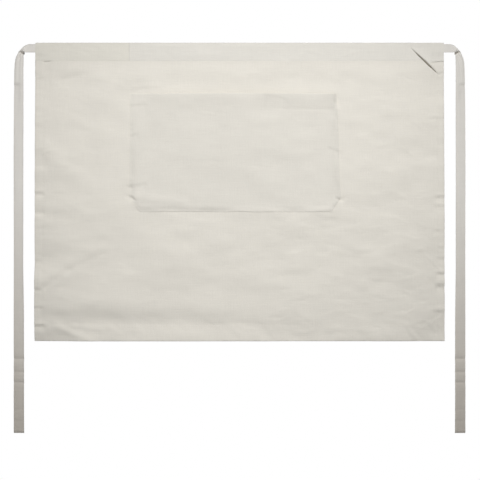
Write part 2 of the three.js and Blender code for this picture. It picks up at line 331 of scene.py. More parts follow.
# the ties' edges, which painted shade darkens, in shares of their width
TIE_EDGE_SHADE_SHARES = (0.06, 0.94)
SPECULAR = 0.2
NOISE_SPAN = dict(From_Min=0.3, From_Max=0.7)  # where most of a noise texture's values lie
NOISE_DETAIL = 3
LINEN_LOOK = dict(Roughness=0.92, Sheen_Weight=0.12, Sheen_Roughness=0.5)
LINEN_THREADS = dict(Scale=520, Distortion=1.2)
LINEN_TONES = dict(weft=dict(scale=(24, 520, 1), tones=(0.982, 1.012)),
                   warp=dict(scale=(560, 30, 1), tones=(0.984, 1.012)),
                   blotch=dict(scale=(17, 17, 1), tones=(0.985, 1.012)))
WEAVE_BUMP = dict(Strength=0.3, Distance=0.0003)
SLUB_BUMP = dict(Strength=0.35, Distance=0.0005)
THREAD_ROUGHNESS = 0.7
THREAD_TWIST = Values(scale=(900, 900, 900), tones=(0.94, 1.05))
THREAD_BUMP = dict(Strength=0.3, Distance=0.0002)
VECTOR_MIX = Values(first=4, second=5, result=1)  # sockets of a Mix node that mixes vectors

# Stage, in metres
FLOOR_Z = -1.6
FLOOR_REACH = 8
FLOOR_LOOK = dict(Roughness=0.9, Base_Color=(0.9, 0.9, 0.9, 1))
SURROUND_Z = FLOOR_Z + 0.01
SURROUND_PROFILE = [(0.1, SURROUND_Z), (2.4, SURROUND_Z), (6.5, SURROUND_Z), (7.5, FLOOR_Z + 1),
                    (7.5, 5), (0.01, 7)]  # radius and height of each ring
SURROUND_SIDES = 48
AIM = (0.001, 0, -0.4336)
FRAME_WIDTH = 1.056  # width that the picture shows at the apron
LENS = 100
SENSOR = 36
WORLD_LOOK = dict(Color=(0.96, 0.98, 1, 1), Strength=0.12)
LIGHTS = [
    # Spot with a soft edge, whose light falls off evenly towards the hem and the ties' ends
    dict(name="key", kind="SPOT", place=(0.29, -3.1, 1.25), aim=(0.015, 0, -0.24), energy=371,
         spot_size=radians(32.5), spot_blend=1, shadow_soft_size=0.25),
    dict(name="overhead", kind="AREA", place=(0, -2.8, 3.2), aim=(0, 0, -0.3), energy=55,
         shape="RECTANGLE", size=2, size_y=1.4),
    dict(name="back", kind="AREA", place=(-1.4, 2.6, 0.1), aim=(0, 0, -0.4), energy=65, size=1.4),
]


# Numbers

def smooth(low, high, value):
    """0 at low, 1 at high and a soft step between them. high may be the lower number."""
    share = np.clip((value - low) / (high - low), 0, 1)
    return share * share * (3 - 2 * share)


def bell(distance, reach):
    return np.exp(-(distance / reach) ** 2)


def mix(first, second, share):
    return first + (second - first) * share


def noise(x, z, seed):
    """Smooth noise from -1 to 1 on a lattice of unit squares."""
    size = 256
    table = np.random.default_rng(seed).uniform(-1, 1, (size, size))
    column = np.floor(x).astype(int)
    row = np.floor(z).astype(int)
    right = x - column
    up = z - row
    right = right ** 3 * (right * (right * 6 - 15) + 10)
    up = up ** 3 * (up * (up * 6 - 15) + 10)
    corner = [table[(column + i) % size, (row + j) % size] for j in (0, 1) for i in (0, 1)]
    return mix(mix(corner[0], corner[1], right), mix(corner[2], corner[3], right), up)


def graded(start, *stretches):
    """Grid lines from a start through stretches of (to, step), each in a whole number of steps."""
    lines = [np.array([start], float)]
    for end, step in stretches:
        count = ceil(abs(end - start) / step)
        lines.append(np.linspace(start, end, count + 1)[1:])
        start = end
    return np.concatenate(lines)


# Cloth relief: each function gives a rise towards the front

def rumple(x, z, rise, across, up, seed, slant=0, shift=0):
    """Noise of a rise, over lengths across and up the cloth, with a slant and a shift of its lattice."""
    return rise * noise((x + slant * z) / across + shift, z / up, seed)


def rumpled(x, z, rows):
    return sum(rumple(x, z, **row) for row in rows)


def line_place(x, z, start, end):
    """Share along a line, from 0 to 1, signed distance to its left and the line's length."""
    line = np.subtract(end, start)
    length = np.hypot(*line)
    along = ((x - start[0]) * line[0] + (z - start[1]) * line[1]) / length ** 2
    across = ((z - start[1]) * line[0] - (x - start[0]) * line[1]) / length
    return along, across, length


def raised_lines(x, z, rows, fading):
    """Ridges and hollows along lines. Fading ones run out towards their end."""
    rise = np.zeros_like(x)
    for start, end, height, left, right in rows:
        along, across, length = line_place(x, z, start, end)
        on_line = np.clip(along, 0, 1)
        to_side = bell(across, np.where(across < 0, right, left))
        past_end = bell((along - on_line) * length, sqrt(left * right))
        strength = np.cos(on_line * pi / 2) if fading else 1
        rise += height * strength * to_side * past_end
    return rise


def crinkles(x, z, seed, count, low, high, rise):
    """Short creases, mostly level, strewn over the box from low to high."""
    draw = np.random.default_rng(seed)
    total = np.zeros_like(x)
    for _ in range(count):
        centre = draw.uniform(low, high)
        length = draw.uniform(*CRINKLE.length)
        slope = draw.normal(0, CRINKLE.slope)
        reach = draw.uniform(*CRINKLE.reach)
        height = rise * draw.uniform(*CRINKLE.share) * draw.choice([-1, 1])
        near_x = CRINKLE_CUT.along * length
        near_z = CRINKLE_CUT.slope * length + CRINKLE_CUT.across * reach
        near = (np.abs(x - centre[0]) < near_x) & (np.abs(z - centre[1]) < near_z)
        along = x[near] - centre[0]
        across = z[near] - centre[1] - slope * along
        total[near] += height * bell(along, length) * bell(across, reach)
    return total


def hem_puckers(x, z):
    rise = np.zeros_like(x)
    for side, height, length, depth, reach in HEM_PUCKERS:
        taper = 1 - smooth(PUCKER_FULL * length, length, HALF_TOP - side * x)
        above = z - height
        valley = bell(above, np.where(above < 0, PUCKER_EASE * reach, reach))
        bank = bell(above - PUCKER_BANK.above * reach, PUCKER_BANK.reach * reach)
        rise += depth * taper * (PUCKER_BANK.share * bank - valley)
    return rise


def hem_relief(x, z):
    """Dimpled stitch lines of the side and lower hems, and the rope-like twist of the lower one."""
    inward = HALF_TOP - np.abs(x)
    side_line = -SIDE_LINE.depth * bell(inward - SIDE_HEM + STITCH_INSET, SIDE_LINE.reach)
    side_ease = rumple(x, z, **SIDE_RUMPLE) * bell(inward - SIDE_HEM / 2, SIDE_HEM * SIDE_SPREAD.share)
    clear_of_seam = smooth(SEAM_Z, SEAM_Z - SIDE_SPREAD.start, z)
    hem_top = BOTTOM_HEM - LENGTH
    drawn_in = FOOT_LINE.depth * (FOOT_LINE.level + rumple(x, z, **FOOT_RUMPLE))
    foot_line = -drawn_in * bell(z - hem_top + STITCH_INSET, FOOT_LINE.reach)
    in_hem = 1 - smooth(hem_top - ROPE.below, hem_top + ROPE.above, z)
    rope = rumpled(x, z, ROPE_TWISTS) * in_hem * (ROPE.level + rumple(x, z, **ROPE_RUMPLE))
    return side_line + side_ease * clear_of_seam + foot_line + rope


def band_cloth(z):
    """Thickness of the waistband's cloth at a height."""
    return mix(SEAM_EDGE, LINEN, np.clip((z - SEAM_Z) / SEAM_TAPER, 0, 1))


def seam_lift(x, z):
    """Brings the panel up under the waistband's thin lower edge and level with it, but for the gaps."""
    ease = SEAM_GAP.ease
    gap = sum(smooth(left - ease, left + ease, x) * smooth(right + ease, right - ease, x)
              for left, right in SEAM_GAPS)
    lift = LINEN + PLY_GAP - SEAM_EASE - band_cloth(z)
    fade = smooth(SEAM_Z - SEAM_RISE.start, SEAM_Z - SEAM_RISE.end, z)
    below = smooth(SEAM_Z + SEAM_TAPER, SEAM_Z, z)
    gaping = SEAM_GAP.depth * gap * below * bell(z - SEAM_Z + SEAM_GAP.below, SEAM_GAP.reach)
    return lift * fade * (1 - gap) - gaping


def tuck_place(x, z):
    """The tuck's effect on points: new x and z, and the rise. Its slit is widest below its middle."""
    along, across, _ = line_place(x, z, TUCK.start, TUCK.end)
    strength = np.sin(pi * np.clip(along, 0, 1) ** TUCK.skew)
    away = np.abs(across)
    taken = np.maximum(TUCK.taken * strength, TUCK.least_taken)
    mouth = TUCK.mouth * strength
    inside = mouth * np.clip(away / taken, 0, 1)
    share = np.clip((away - taken) / (TUCK.eased - taken), 0, 1)
    drawn = np.where(away < taken, inside, np.where(share < 1, mix(mouth, TUCK.eased, share), away))
    shift = (drawn - away) * np.sign(across)
    line = np.subtract(TUCK.end, TUCK.start)
    normal = np.array([-line[1], line[0]]) / np.hypot(*line)
    sunk = TUCK.depth * strength * 0.5 * (1 + np.cos(pi * np.clip(away / taken, 0, 1)))
    rim = TUCK.lift * strength * bell(drawn, TUCK.lift_reach) * smooth(0, 1, away / taken)
    lifted = np.where(across > 0, rim, TUCK.lower_lift * rim)
    return x + normal[0] * shift, z + normal[1] * shift, lifted - sunk


def under_pocket(x, z):
    """1 where the pocket covers the panel, easing to 0 at its edges."""
    ease = POCKET_COVER.ease
    right = POCKET_RIGHT + POCKET_COVER.right
    top = POCKET_TOP + POCKET_COVER.above
    inside_x = smooth(POCKET_LEFT, POCKET_LEFT + ease, x) * smooth(right, right - ease, x)
    above_foot = smooth(POCKET_BOTTOM, POCKET_BOTTOM + ease, z)
    return inside_x * (above_foot * smooth(top + POCKET_COVER.above_ease, top, z))


def panel_relief(x, z):
    fine = sum(crinkles(x, z, **row) for row in PANEL_CRINKLES)
    fine += rumpled(x, z, UNDULATION) + hem_puckers(x, z) + hem_relief(x, z)
    drawn = raised_lines(x, z, CREASES, False) + fine * (1 - under_pocket(x, z))
    near_band = smooth(SEAM_Z - SEAM_HOLD, SEAM_Z, z)
    sewn = band_relief(x, np.maximum(z, SEAM_Z)) * near_band
    return raised_lines(x, z, FOLDS, True) + seam_lift(x, z) + sewn + drawn * (1 - near_band)


# Meshes

def new_object(name, data):
    made = bpy.data.objects.new(name, data)
    bpy.context.collection.objects.link(made)
    return made


def mesh_object(name, vertices, faces):
    mesh = bpy.data.meshes.new(name)
    mesh.from_pydata(np.asarray(vertices) * MM, [], faces)
    mesh.polygons.foreach_set("use_smooth", np.ones(len(mesh.polygons), bool))
    mesh.set_sharp_from_angle(angle=radians(SHARP_EDGE))
    mesh.update()
    return new_object(name, mesh)


def sheet_normals(points):
    """Unit normals of a sheet of points, towards the front where columns run right and rows run down."""
    normal = np.cross(np.gradient(points, axis=0), np.gradient(points, axis=1))
    return normal / np.linalg.norm(normal, axis=2, keepdims=True)


def cloth_wall(name, points, flat, thickness):
    """A closed wall of cloth about a sheet of points. flat holds each point's place on the uncut cloth."""
    rows, columns = points.shape[:2]
    offset = sheet_normals(points) * thickness / 2
    vertices = np.concatenate([(points + offset).reshape(-1, 3), (points - offset).reshape(-1, 3)])
    at = np.arange(rows * columns).reshape(rows, columns)
    front = np.stack([at[:-1, :-1], at[1:, :-1], at[1:, 1:], at[:-1, 1:]], 2).reshape(-1, 4)
    back = front[:, ::-1] + rows * columns
    rim = np.concatenate([at[:-1, 0], at[-1, :-1], at[:0:-1, -1], at[0, :0:-1]])
    following = np.roll(rim, -1)
    edge = np.stack([following, rim, rim + rows * columns, following + rows * columns], 1)
    faces = np.concatenate([front, back, edge])
    made = mesh_object(name, vertices, faces)
    layer = made.data.uv_layers.new(name=CLOTH_MAP)
    places = np.tile(flat.reshape(-1, 2), (2, 1)) * MM
    layer.uv.foreach_set("vector", places[faces.ravel()].astype(np.float32).ravel())
    return made


def stitch_points(points, outward):
    """Points of the stitches along a line: for each, one sunk end, two rings and the other sunk end."""
    turn = np.arange(STITCH.sides) * 2 * pi / STITCH.sides
    step = np.linalg.norm(np.diff(points, axis=0), axis=1)
    lengths = np.concatenate([[0], np.cumsum(step)])
    starts = np.arange(0, lengths[-1] - STITCH.length, STITCH.pitch)
    tips = [np.stack([np.interp(at, lengths, points[:, i]) for i in range(3)], 1)
            for at in (starts, starts + STITCH.length)]
    run = tips[1] - tips[0]
    outward = np.broadcast_to(outward, run.shape)
    wide = np.cross(run, outward)
    wide /= np.linalg.norm(wide, axis=1, keepdims=True)
    to_side = wide[:, None] * np.cos(turn)[:, None]
    to_front = outward[:, None] * np.sin(turn)[:, None]
    ring = STITCH.radius * (to_side + to_front)
    first = (tips[0] + STITCH.dip * run)[:, None] + ring
    last = (tips[0] + (1 - STITCH.dip) * run)[:, None] + ring
    sunk = [(tip - outward * STITCH.radius)[:, None] for tip in tips]
    return np.concatenate([sunk[0], first, last, sunk[1]], 1)


def make_stitches(name, lines, material):
    """Rows of short stitches. A line is its points on the cloth's face and the way that face looks."""
    vertices = np.concatenate([stitch_points(points, outward) for points, outward in lines])
    sides = STITCH.sides
    count = 2 * sides + 2
    one_stitch = []
    for i in range(sides):
        j = (i + 1) % sides
        one_stitch += [(0, 1 + j, 1 + i), (count - 1, 1 + sides + i, 1 + sides + j)]
        one_stitch += [(1 + i, 1 + j, 1 + sides + j), (1 + i, 1 + sides + j, 1 + sides + i)]
    firsts = count * np.arange(len(vertices))[:, None, None]
    faces = (np.array(one_stitch)[None] + firsts).reshape(-1, 3)
    made = mesh_object(name, vertices.reshape(-1, 3), faces)
    made.data.materials.append(material)
    return made


def turned(place, edge, radius):
    """A place on the flat cloth, turned over at an edge: where it lies, how far behind and the turn."""
    start = edge - radius
    over = place - start
    angle = np.clip(over / radius, 0, pi)
    beyond = np.maximum(over - pi * radius, 0)
    lies = np.where(over < 0, place, start + radius * np.sin(angle) - beyond)
    return lies, radius * (1 - np.cos(angle)), angle


# Panel

def panel_place(x, z, layer):
    """Points of the panel at x and z on its flat front, a layer behind the middle of its front ply."""
    rise = panel_relief(x, z)
    x, z, tucked = tuck_place(x, z)
    flare = 1 + (HALF_BOTTOM / HALF_TOP - 1) * -z / LENGTH
    return np.stack([x * flare, layer - rise - tucked, z], -1)


def make_panel():
    """The panel as one sheet with its side hems and then its lower hem turned to the back."""
    side_turn = HALF_TOP - SIDE_FOLD
    side_end = side_turn + pi * SIDE_FOLD
    side_step = pi * SIDE_FOLD / FOLD_STEPS
    side_cut = side_end + SIDE_HEM
    tuck_left = TUCK.start[0] - TUCK_ROOM.left
    columns = graded(-side_cut, (-side_end, STEP.side_hem), (-side_turn, side_step),
                     (LEFT_EDGE_X, STEP.left_edge), (tuck_left, STEP.middle), (side_turn, STEP.tuck),
                     (side_end, side_step), (side_cut, STEP.side_hem))
    foot_turn = LENGTH - BOTTOM_FOLD
    foot_end = foot_turn + pi * BOTTOM_FOLD
    foot_step = pi * BOTTOM_FOLD / FOLD_STEPS
    taper = BAND_DEPTH - SEAM_TAPER
    tuck_foot = TUCK_ROOM.below - TUCK.end[1]
    rows = graded(-PANEL_TOP, (taper, STEP.band), (BAND_DEPTH, STEP.taper), (tuck_foot, STEP.tuck),
                  (LOWER_DEPTH, STEP.upper), (foot_turn, STEP.lower), (foot_end, foot_step),
                  (foot_end + BOTTOM_HEM, STEP.foot_hem))
    across, down = np.meshgrid(columns, rows)
    x, behind, _ = turned(np.abs(across), HALF_TOP, SIDE_FOLD)
    x = x * np.sign(across)
    depth, _, angle = turned(down, LENGTH, BOTTOM_FOLD)
    z = behind * np.sin(angle) - depth
    layer = BOTTOM_FOLD - (BOTTOM_FOLD - behind) * np.cos(angle)
    flat = np.stack([across, down], 2)
    return cloth_wall("panel_cloth", panel_place(x, z, layer), flat, LINEN), np.ptp(columns), np.ptp(rows)


def panel_stitch_lines():
    side_x = HALF_TOP - SIDE_HEM + STITCH_INSET
    foot_z = BOTTOM_HEM - LENGTH - STITCH_INSET
    edge = STITCH_CLEAR.edge
    down = np.linspace(SEAM_Z - STITCH_CLEAR.seam, -LENGTH + edge, STITCH_POINTS.down)
    across = np.linspace(edge - HALF_TOP, HALF_TOP - edge, STITCH_POINTS.across)
    rows = [(side * side_x + 0 * down, down, 2 * SIDE_FOLD) for side in (-1, 1)]
    rows.append((across, foot_z + 0 * across, 2 * BOTTOM_FOLD))
    lines = []
    for x, z, turned_ply in rows:
        lines.append((panel_place(x, z, -LINEN / 2), (0, -1, 0)))
        lines.append((panel_place(x, z, turned_ply + LINEN / 2), (0, 1, 0)))
    return lines


# Waistband

def band_relief(x, z):
    """Unevenness of the waistband, which dies out at its top edge, and the lean of that edge."""
    rise = rumple(x, z, **BAND_RUMPLE) + crinkles(x, z, **BAND_CRINKLES)
    from_end = HALF_TOP - np.abs(x)
    lean = smooth(-TOP_LEAN.depth, -TOP_LEAN.edge, z) * smooth(TOP_LEAN.clear, 2 * TOP_LEAN.clear, from_end)
    return rise * smooth(0, -BAND_RUMPLE_DEPTH, z) + TOP_LEAN.forward * lean


def band_stand(x, z):
    """How far the waistband's walls stand from its middle, with room for the sewn-in ties at its ends."""
    at_end = smooth(HALF_TOP - TIE_ROOM.inner, HALF_TOP - TIE_ROOM.outer, np.abs(x))
    at_tie = smooth(-TIE_ROOM.low, -TIE_ROOM.high, z) * smooth(0, -TIE_ROOM.top, z)
    opened = smooth(*BAND_OPENING, z)
    pressed = mix(TOP_FOLD, LINEN + PLY_GAP, opened)
    return pressed + (LINEN - band_cloth(z)) / 2 + TIE_ROOM.stand * at_end * at_tie


def make_band(name, left, right):
    """One strip of the waistband, up the back, over the panel's edge and down the front."""
    tuck_left = np.clip(TUCK.start[0] - TUCK_ROOM.left, left, right)
    columns = graded(left, (tuck_left, STEP.strip), (right, STEP.tuck))
    wall = BAND_DEPTH - TOP_FOLD
    turn = pi * TOP_FOLD
    full = wall + turn + wall
    rows = graded(0, (SEAM_TAPER, STEP.taper), (wall, STEP.band), (wall + turn, turn / FOLD_STEPS),
                  (full - SEAM_TAPER, STEP.band), (full, STEP.taper))
    across, along = np.meshgrid(columns, rows)
    angle = np.clip((along - wall) / TOP_FOLD, 0, pi)
    down_front = np.maximum(along - wall - turn, 0)
    z = np.minimum(along, wall) + SEAM_Z + TOP_FOLD * np.sin(angle) - down_front
    y = band_stand(across, z) * np.cos(angle) - band_relief(across, z)
    thickness = band_cloth(z)[..., None]
    x, z, tucked = tuck_place(across, z)
    flat = np.stack([across, along + BAND_ON_CLOTH], 2)
    return cloth_wall(name, np.stack([x, y - tucked, z], 2), flat, thickness)


def band_stitch_lines(left, right):
    clear = STITCH_CLEAR.seam
    x = np.linspace(left + clear, right - clear, STITCH_POINTS.band)
    z = STITCH_INSET + SEAM_Z + 0 * x
    stand = band_stand(x, z) + band_cloth(z) / 2
    rise = band_relief(x, z)
    x, z, tucked = tuck_place(x, z)
    return [(np.stack([x, way * stand - rise - tucked, z], 1), (0, way, 0)) for way in (-1, 1)]


# Pocket

def pocket_edges(z):
    """Left and right edge of the pocket at a height."""
    clip = np.maximum(0, (POCKET_BOTTOM + POCKET_CLIP.height - z) / POCKET_CLIP.height)
    height = (z - POCKET_BOTTOM) / (POCKET_TOP - POCKET_BOTTOM)
    left = mix(POCKET_LEFT_FOOT, POCKET_LEFT, height) + POCKET_CLIP.left * clip
    right = mix(POCKET_RIGHT_FOOT, POCKET_RIGHT, height) - POCKET_CLIP.right * clip
    wander_left, wander_right = (rumple(z, 0 * z, **row) for row in POCKET_WANDER)
    return left + wander_left, right + wander_right


def pocket_rise(x, z):
    """Rise of the pocket's front ply above the middle of the panel's."""
    left, right = pocket_edges(z)
    across = np.clip((2 * x - left - right) / (right - left), -1, 1)
    height = np.clip((z - POCKET_BOTTOM) / (POCKET_TOP - POCKET_BOTTOM), 0, 1)
    gape = mix(height ** MOUTH_EASE, np.sin(height * pi / 2), POCKET_SWELL)
    swell = POCKET_GAPE * gape * (1 - across ** 2) ** SIDE_EASE
    edge_in = np.minimum(np.minimum(x - left, right - x), z - POCKET_BOTTOM)
    roll = POCKET_SEAM.roll * bell(edge_in - POCKET_SEAM.roll_in, POCKET_SEAM.roll_reach)
    dip = POCKET_SEAM.dip * bell(edge_in - STITCH_INSET, POCKET_SEAM.dip_reach)
    fine = crinkles(x, z, **POCKET_CRINKLES)
    fine += rumpled(x, z, POCKET_RUMPLE) + raised_lines(x, z, POCKET_CREASES, False)
    hem_foot = POCKET_TOP - MOUTH_HEM
    close = smooth(MOUTH_ROOM.none, MOUTH_ROOM.full, swell)
    hem_room = 2 * MOUTH_FOLD * smooth(hem_foot - MOUTH_ROOM.below, hem_foot, z) * close
    stand = swell + (roll - dip) + hem_room + fine * smooth(*POCKET_FINE_IN, edge_in)
    clear = (stand + np.hypot(stand, POCKET_CLEAR)) / 2
    return (LINEN + POCKET_CLOTH) / 2 + PLY_GAP + panel_relief(x, z) + clear


def make_pocket():
    """The pocket as one sheet with its mouth hem turned to the inside."""
    foot = POCKET_TOP - POCKET_BOTTOM - MOUTH_FOLD
    mouth_end = pi * MOUTH_FOLD
    even = np.linspace(-1, 1, POCKET_COLUMNS) * pi * POCKET_CROWDING
    columns = np.sin(even) / np.sin(even[-1])
    rows = graded(-MOUTH_HEM - mouth_end, (-mouth_end, STEP.mouth_hem), (0, mouth_end / FOLD_STEPS),
                  (foot, STEP.pocket))
    across, down = np.meshgrid(columns, rows)
    angle = np.clip(-down / MOUTH_FOLD, 0, pi)
    inside = np.maximum(-down - mouth_end, 0)
    z = POCKET_TOP - MOUTH_FOLD - np.maximum(down, 0) + MOUTH_FOLD * np.sin(angle) - inside
    left, right = pocket_edges(z)
    x = mix(left, right, (across + 1) / 2)
    layer = MOUTH_FOLD * (1 - np.cos(angle))
    near_foot = smooth(POCKET_BOTTOM + POCKET_SAG_HEIGHT, POCKET_BOTTOM, z)
    sag = rumple(x, 0 * x, **POCKET_SAG) * near_foot
    points = np.stack([x, layer - pocket_rise(x, z), z + sag], 2)
    return cloth_wall("pocket_cloth", points, np.stack([x + POCKET_ON_CLOTH, down], 2), POCKET_CLOTH)


def pocket_stitch_lines():
    count = STITCH_POINTS.pocket
    mouth = STITCH_CLEAR.mouth
    down = np.linspace(POCKET_TOP - STITCH_CLEAR.seam, POCKET_BOTTOM + STITCH_INSET, count)
    left, right = pocket_edges(down)
    foot = np.linspace(left[-1] + STITCH_INSET, right[-1] - STITCH_INSET, count)
    round_x = np.concatenate([left + STITCH_INSET, foot, (right - STITCH_INSET)[::-1]])
    round_z = np.concatenate([down, down[-1] + 0 * foot, down[::-1]])
    mouth_x = np.linspace(left[0] + mouth, right[0] - mouth, count)
    mouth_z = POCKET_TOP - MOUTH_HEM + STITCH_INSET + 0 * mouth_x
    lines = [(np.stack([x, -pocket_rise(x, z) - POCKET_CLOTH / 2, z], 1), (0, -1, 0))
             for x, z in ((round_x, round_z), (mouth_x, mouth_z))]
    return lines + [(panel_place(round_x, round_z, LINEN / 2), (0, 1, 0))]


# Ties

def tie_rows(step):
    """Sections of a tie at even steps, with the length along it and the length from its pinch."""
    table = np.array(TIE_SECTIONS)
    middle = np.stack([table[:, 0] + table[:, 2], table[:, 1] + table[:, 3]], 1) / 2
    lengths = np.concatenate([[0], np.cumsum(np.hypot(*np.diff(middle, axis=0).T))])
    along = graded(0, (lengths[-1], step))
    rows = {name: np.interp(along, lengths, table[:, i])[:, None] for i, name in enumerate(TIE_COLUMNS)}
    return Values(along=along[:, None], pinch=along[:, None] - lengths[TIE_PINCH_ROW], **rows)


def tie_fold(past, share):
    """Fold across a tie at its pinch: sunk at the inner edge, bulging before it and faceted after it."""
    inner = 1 - share
    reach = TIE_PINCH.reach + TIE_PINCH.inner_reach * inner
    pinch = TIE_PINCH.depth * inner ** TIE_PINCH.ease * bell(past, reach)
    bulge = TIE_BULGE.rise * bell(past + TIE_BULGE.before, TIE_BULGE.reach)
    run = TIE_FACET.run * (share - TIE_FACET.start) / (1 - TIE_FACET.start)
    facet = TIE_FACET.depth * bell(past - run, TIE_FACET.reach) * smooth(*TIE_FACET.shares, share)
    return pinch - bulge + facet


def tie_pleats(past, share, gather, side):
    """Pleats that run on from the pinch and flatten out."""
    waves = np.cos(2 * pi * TIE_PLEATS.count * share + TIE_PLEATS.shift * side)
    pleated = smooth(0, TIE_PLEATS.start, past) * smooth(TIE_PLEATS.gone, TIE_PLEATS.full, past)
    return TIE_PLEATS.rise * gather * waves * pleated


def tie_drift(along, share, side, depth, length, shift, twist, seed, eased):
    """Unevenness along a tie, which differs a little from edge to edge."""
    uneven = noise(along / length + shift * side, twist * share + 0 * along, seed)
    return depth * smooth(*eased, along) * uneven


def tie_place(side, share, layer):
    """Points of a tie at shares from its inner edge to its outer, a layer behind its middle.

    side is 1 for the right tie and -1 for the left one.
    """
    rows = tie_rows(STEP.tie)
    past = rows.pinch
    length = rows.along + 0 * share
    out = mix(rows.inner_out, rows.outer_out, share)
    down = mix(rows.inner_down, rows.outer_down, share)
    stepped = smooth(*TIE_STEP_BACK.setting_in, past) * smooth(*TIE_STEP_BACK.easing, past)
    step_back = TIE_STEP_BACK.depth * stepped * smooth(*TIE_STEP_BACK.shares, share)
    creases = sum(depth * np.exp(-np.abs(down - place) / reach) for place, depth, reach in TIE_CREASES)
    from_end = np.clip(1 - (rows.along[-1] - rows.along) / TIE_END_ROLL.length, 0, 1)
    end_roll = TIE_END_ROLL.back * from_end ** 2
    drifts = sum(tie_drift(length, share, side, **row) for row in TIE_DRIFTS)
    at_rims = sum(bell(share - rim, TIE_RIMS.reach) for rim in TIE_RIMS.shares)
    rims = TIE_RIMS.depth * at_rims * smooth(*TIE_RIMS.eased, length)
    y = tie_pleats(past, share, rows.gather, side) + tie_fold(past, share) + step_back + creases
    y = y + end_roll + drifts + rims
    return np.stack([side * (HALF_TOP + out), y + layer, -down], 2)


def make_tie(name, side):
    share = np.linspace(0, 1, TIE_ACROSS)[None, ::side]
    points = tie_place(side, share, 0)
    length = tie_rows(STEP.tie).along
    flat = np.stack([share * TIE_WIDTH + 0 * length + TIE_ON_CLOTH, length + 0 * share], 2)
    return cloth_wall(name, points, flat, TIE_THICKNESS)


def tie_stitch_lines(side):
    share = np.array([TIE_RIMS.shares])
    lines = []
    for way in (-1, 1):
        points = tie_place(side, share, way * TIE_THICKNESS / 2)
        clear = tie_rows(STEP.tie).along[:, 0] > STITCH_CLEAR.tie
        lines += [(points[clear, i], (0, way, 0)) for i in range(share.size)]
    return lines


def tie_path(side):
    """The tie's middle line, in metres."""
    rows = tie_rows(STEP.tie_path)
    out = (rows.inner_out + rows.outer_out)[:, 0] / 2
    down = (rows.inner_down + rows.outer_down)[:, 0] / 2
    return np.stack([side * (HALF_TOP + out), 0 * out, -down], 1) * MM


# Materials

def set_inputs(node, *first_inputs, **named_inputs):
    """Sets a node's inputs, each to a value, an output or the first output of another node."""
    inputs = list(zip(node.inputs, first_inputs))
    inputs += [(node.inputs[key.replace("_", " ")], value) for key, value in named_inputs.items()]
    for socket, value in inputs:
        if isinstance(value, bpy.types.Node):
            value = value.outputs[0]
        if isinstance(value, bpy.types.NodeSocket):
            node.id_data.links.new(value, socket)
        else:
            socket.default_value = value


def add_node(tree, kind, settings=None, *first_inputs, **named_inputs):
    node = tree.nodes.new(kind)
    for key, value in (settings or {}).items():
        setattr(node, key, value)
    set_inputs(node, *first_inputs, **named_inputs)
    return node


def maths(tree, operation, *inputs):
    return add_node(tree, "ShaderNodeMath", dict(operation=operation), *inputs)


def scaled_noise(tree, place, scale):
    stretched = add_node(tree, "ShaderNodeMapping", Vector=place, Scale=scale)
    return add_node(tree, "ShaderNodeTexNoise", Vector=stretched, Scale=1, Detail=NOISE_DETAIL)


def ranged(tree, value, low, high):
    """A noise texture's values spread from low to high."""
    return add_node(tree, "ShaderNodeMapRange", Value=value, To_Min=low, To_Max=high, **NOISE_SPAN)


def new_material(name, **look):
    material = bpy.data.materials.new(name)
    material.use_nodes = True
    tree = material.node_tree
    shader = tree.nodes["Principled BSDF"]
    set_inputs(shader, Specular_IOR_Level=SPECULAR, **look)
    return material, tree, shader


def tint(tree, shader, colour, tone):
    """Gives the shader a colour that varies with a tone about 1."""
    shade = add_node(tree, "ShaderNodeVectorMath", dict(operation="SCALE"), colour, Scale=tone)
    set_inputs(shader, Base_Color=shade)


def darken_along(tree, place, tone, axis, line, reach, loss):
    """Takes some of a tone away along a line of the uncut cloth, square to one of its axes; on most lines
    this is painted shade.
    """
    coordinate = add_node(tree, "ShaderNodeSeparateXYZ", Vector=place).outputs[axis]
    away = maths(tree, "ABSOLUTE", maths(tree, "SUBTRACT", coordinate, line * MM))
    kept = add_node(tree, "ShaderNodeMapRange", dict(interpolation_type="SMOOTHSTEP"), Value=away,
                    From_Max=reach * MM, To_Min=1 - loss)
    return maths(tree, "MULTIPLY", tone, kept)


def painted_end_shade(tree, place, colour, shaded_end_colour):
    """A tie's colour, which turns to a darker one, painted shade, towards its lower end."""
    length = add_node(tree, "ShaderNodeSeparateXYZ", Vector=place).outputs["Y"]
    share = add_node(tree, "ShaderNodeMapRange", Value=length, **TIE_END_SHADE_SPAN)
    turning = add_node(tree, "ShaderNodeMix", dict(data_type="VECTOR"), Factor=share)
    turning.inputs[VECTOR_MIX.first].default_value = colour
    turning.inputs[VECTOR_MIX.second].default_value = shaded_end_colour
    return turning.outputs[VECTOR_MIX.result]


